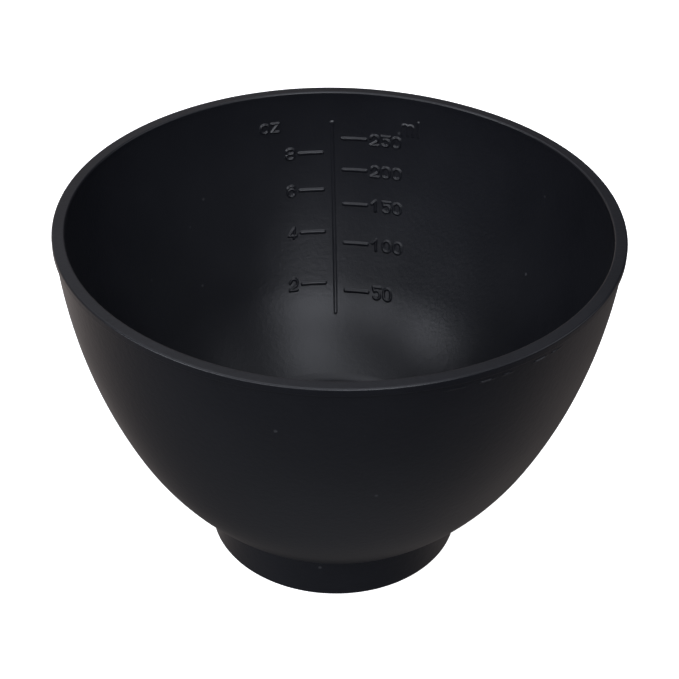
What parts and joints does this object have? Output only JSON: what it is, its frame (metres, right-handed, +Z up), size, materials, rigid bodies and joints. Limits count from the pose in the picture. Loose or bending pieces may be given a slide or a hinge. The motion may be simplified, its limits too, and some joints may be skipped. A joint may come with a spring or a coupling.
{
  "type": "hair color mixing bowl",
  "caption": "Flexible round bowl with a flat-topped rim, a low hollow foot ring and a raised volume scale inside the back wall.",
  "frame": {"origin": "centre of the foot ring's resting face", "axes": "+Z up out of the bowl, +Y towards the wall that carries the measuring scale, +X to the right when the scale is read"},
  "size_m": [0.104, 0.104, 0.071],
  "materials": {
    "rubber": "soft satin black rubber"
  },
  "bodies": {
    "root": {"rim_band": "rubber", "side_wall": "rubber", "base": "rubber", "foot_ring": "rubber", "scale_line": "rubber", "unit_ml": "rubber", "unit_oz": "rubber", "tick_50_ml": "rubber", "tick_100_ml": "rubber", "tick_150_ml": "rubber", "tick_200_ml": "rubber", "tick_250_ml": "rubber", "number_50_ml": "rubber", "number_100_ml": "rubber", "number_150_ml": "rubber", "number_200_ml": "rubber", "number_250_ml": "rubber", "tick_2_oz": "rubber", "tick_4_oz": "rubber", "tick_6_oz": "rubber", "tick_8_oz": "rubber", "number_2_oz": "rubber", "number_4_oz": "rubber", "number_6_oz": "rubber", "number_8_oz": "rubber"}
  },
  "joints": []
}
